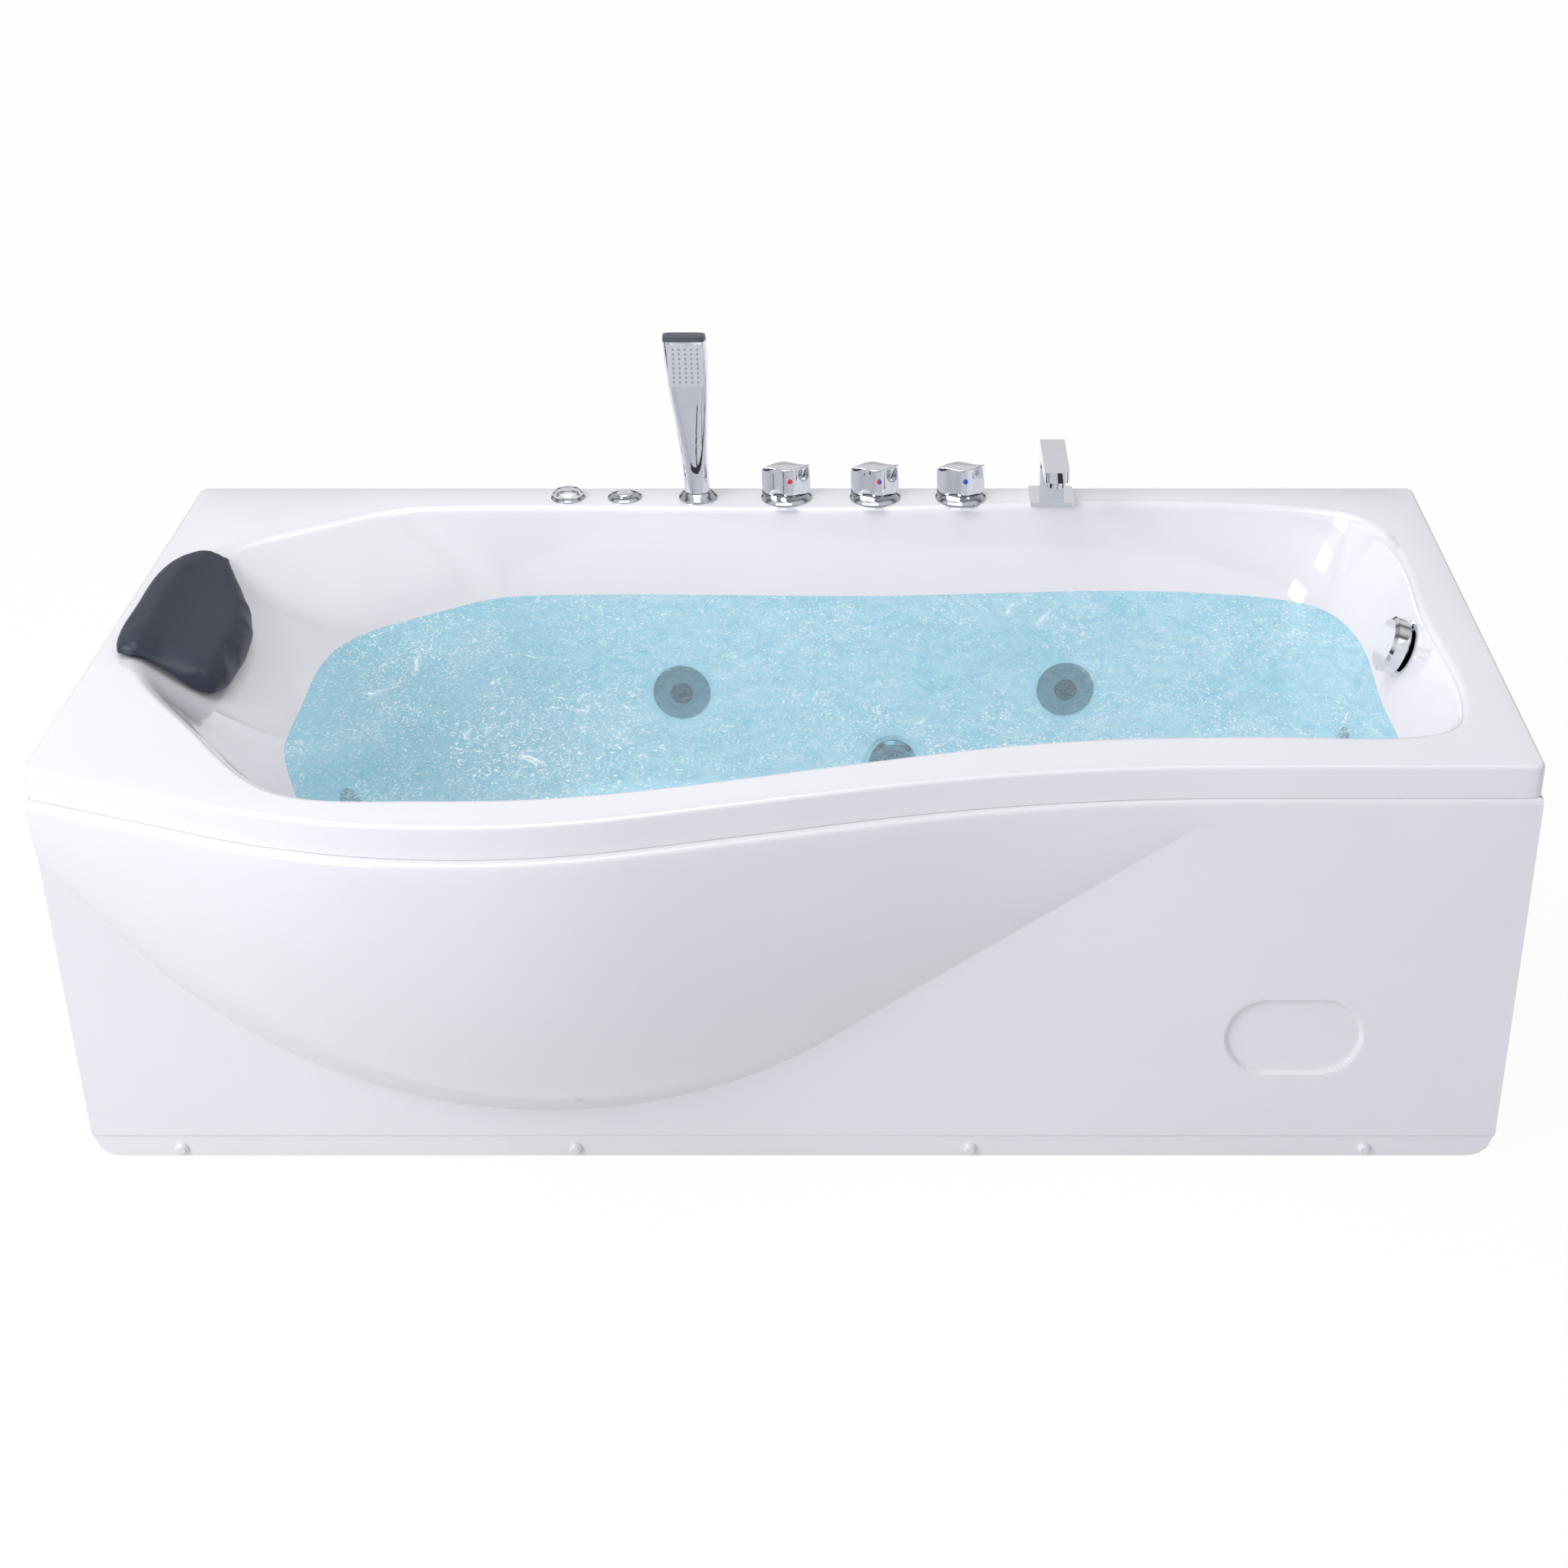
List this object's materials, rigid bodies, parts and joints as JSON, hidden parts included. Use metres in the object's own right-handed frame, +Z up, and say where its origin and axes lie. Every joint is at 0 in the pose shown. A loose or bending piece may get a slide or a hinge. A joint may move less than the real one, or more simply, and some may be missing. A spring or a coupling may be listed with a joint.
{
  "type": "jetted bathtub",
  "caption": "Built-in jetted bathtub with a bowed skirt, deck taps, spout, pull-out hand shower, swivelling jets, pump, head rest and a steel frame on levelling feet.",
  "frame": {"origin": "on the floor, under the middle of the bathtub's bounding box", "axes": "+X runs from the head end with the head rest to the foot end with the overflow, +Y to the back wall behind the taps, +Z up"},
  "size_m": [1.7, 0.9678, 0.775],
  "materials": {
    "acrylic": "high gloss",
    "cap_white": "gloss",
    "zinc": "zinc plated",
    "board": "raw board",
    "frame_steel": "galvanised",
    "chrome": "polished",
    "satin_metal": "satin",
    "mark_red": "gloss",
    "mark_violet": "gloss",
    "mark_blue": "gloss",
    "brass": "raw",
    "white_plastic": "satin",
    "dark_plastic": "satin",
    "motor_grey": "satin",
    "head_rest_cover": "soft, fine grain"
  },
  "bodies": {
    "tub": {"tub_shell": "acrylic", "front_apron": "acrylic", "apron_screws": "zinc", "apron_screw_caps": "cap_white", "base_board": "board", "frame_long_rails": "frame_steel", "frame_cross_rails": "frame_steel", "frame_posts": "frame_steel", "apron_rail": "frame_steel", "foot_nuts": "zinc", "knob_flanges": "chrome", "valve_bodies": "brass", "mixer_pipes": "brass", "spout_base": "chrome", "spout_body": "chrome", "spout_aerator": "dark_plastic", "shower_collar": "chrome", "shower_guide": "white_plastic", "air_regulator_base": "chrome", "pump_button_base": "chrome", "deck_nuts": "zinc", "jet_flanges": "chrome", "jet_bodies": "white_plastic", "suction_cover": "chrome", "suction_body": "white_plastic", "overflow_flange": "chrome", "overflow_body": "white_plastic", "overflow_pipe": "white_plastic", "drain_flange": "chrome", "waste_trap": "white_plastic", "pump_motor": "motor_grey", "pump_volute": "dark_plastic", "pump_plate": "zinc", "suction_pipe": "white_plastic", "pressure_pipes": "white_plastic", "air_pipe": "dark_plastic"},
    "hot_knob": {"knob_hot": "chrome", "dot_hot": "mark_red"},
    "diverter_knob": {"knob_divert": "chrome", "dot_divert": "mark_violet"},
    "cold_knob": {"knob_cold": "chrome", "dot_cold": "mark_blue"},
    "hand_shower": {"hand_shower_body": "chrome", "hand_shower_cap": "chrome", "spray_plate": "satin_metal"},
    "air_knob": {"air_regulator_knob": "chrome"},
    "button": {"pump_button": "chrome"},
    "nozzle_back_head": {"jet_nozzle_back_head": "chrome"},
    "nozzle_back_foot": {"jet_nozzle_back_foot": "chrome"},
    "nozzle_back_rest": {"jet_nozzle_back_rest": "chrome"},
    "nozzle_foot_end": {"jet_nozzle_foot_end": "chrome"},
    "overflow_disc": {"overflow_knob": "chrome"},
    "plug": {"drain_plug": "chrome"},
    "head_rest": {"headrest_pillow": "head_rest_cover"},
    "level_head_front": {"foot_head_front": "zinc"},
    "level_head_back": {"foot_head_back": "zinc"},
    "level_end_front": {"foot_end_front": "zinc"},
    "level_end_back": {"foot_end_back": "zinc"}
  },
  "joints": [
    {"name": "hot_knob_turn", "type": "hinge", "parent": "tub", "child": "hot_knob", "pos_m": [-0.027, 0.447, 0.54], "axis": [0, 0, 1], "range_deg": [0, 90]},
    {"name": "diverter_knob_turn", "type": "hinge", "parent": "tub", "child": "diverter_knob", "pos_m": [0.096, 0.447, 0.54], "axis": [0, 0, 1], "range_deg": [-45, 45]},
    {"name": "cold_knob_turn", "type": "hinge", "parent": "tub", "child": "cold_knob", "pos_m": [0.215, 0.447, 0.54], "axis": [0, 0, 1], "range_deg": [-90, 0]},
    {"name": "air_knob_turn", "type": "hinge", "parent": "tub", "child": "air_knob", "pos_m": [-0.331, 0.447, 0.54], "axis": [0, 0, 1], "range_deg": [0, 270]},
    {"name": "button_press", "type": "slide", "parent": "tub", "child": "button", "axis": [0, 0, -1], "range_m": [0, 0.003], "stiffness_N_per_m": 600, "springref_m": -0.003},
    {"name": "hand_shower_lift", "type": "slide", "parent": "tub", "child": "hand_shower", "axis": [0, 0, 1], "range_m": [0, 0.3]},
    {"name": "nozzle_back_head_swivel", "type": "hinge", "parent": "tub", "child": "nozzle_back_head", "pos_m": [-0.17799, 0.37775, 0.2719], "axis": [1, -0.0059, 0], "range_deg": [-15, 15]},
    {"name": "nozzle_back_foot_swivel", "type": "hinge", "parent": "tub", "child": "nozzle_back_foot", "pos_m": [0.36595, 0.38835, 0.27188], "axis": [0.9995, 0.0319, 0], "range_deg": [-15, 15]},
    {"name": "nozzle_back_rest_swivel", "type": "hinge", "parent": "tub", "child": "nozzle_back_rest", "pos_m": [-0.56002, -0.03602, 0.30145], "axis": [-0.0145, 0.9999, 0], "range_deg": [-15, 15]},
    {"name": "nozzle_foot_end_swivel", "type": "hinge", "parent": "tub", "child": "nozzle_foot_end", "pos_m": [0.72401, 0.17399, 0.27782], "axis": [-0.0051, -1, 0], "range_deg": [-15, 15]},
    {"name": "overflow_disc_turn", "type": "hinge", "parent": "tub", "child": "overflow_disc", "pos_m": [0.76782, 0.06904, 0.48949], "axis": [-0.9387, -0.0265, 0.3436], "range_deg": [0, 90]},
    {"name": "plug_rise", "type": "slide", "parent": "tub", "child": "plug", "axis": [0, 0, 1], "range_m": [0, 0.01]},
    {"name": "head_rest_lift", "type": "slide", "parent": "tub", "child": "head_rest", "axis": [0, 0, 1], "range_m": [0, 0.15]},
    {"name": "level_head_front_screw", "type": "slide", "parent": "tub", "child": "level_head_front", "axis": [0, 0, -1], "range_m": [0, 0.015]},
    {"name": "level_head_back_screw", "type": "slide", "parent": "tub", "child": "level_head_back", "axis": [0, 0, -1], "range_m": [0, 0.015]},
    {"name": "level_end_front_screw", "type": "slide", "parent": "tub", "child": "level_end_front", "axis": [0, 0, -1], "range_m": [0, 0.015]},
    {"name": "level_end_back_screw", "type": "slide", "parent": "tub", "child": "level_end_back", "axis": [0, 0, -1], "range_m": [0, 0.015]}
  ],
  "couplings": [
    {"joint": "plug_rise", "follows": "overflow_disc_turn", "m_per_rad": 0.006366}
  ]
}
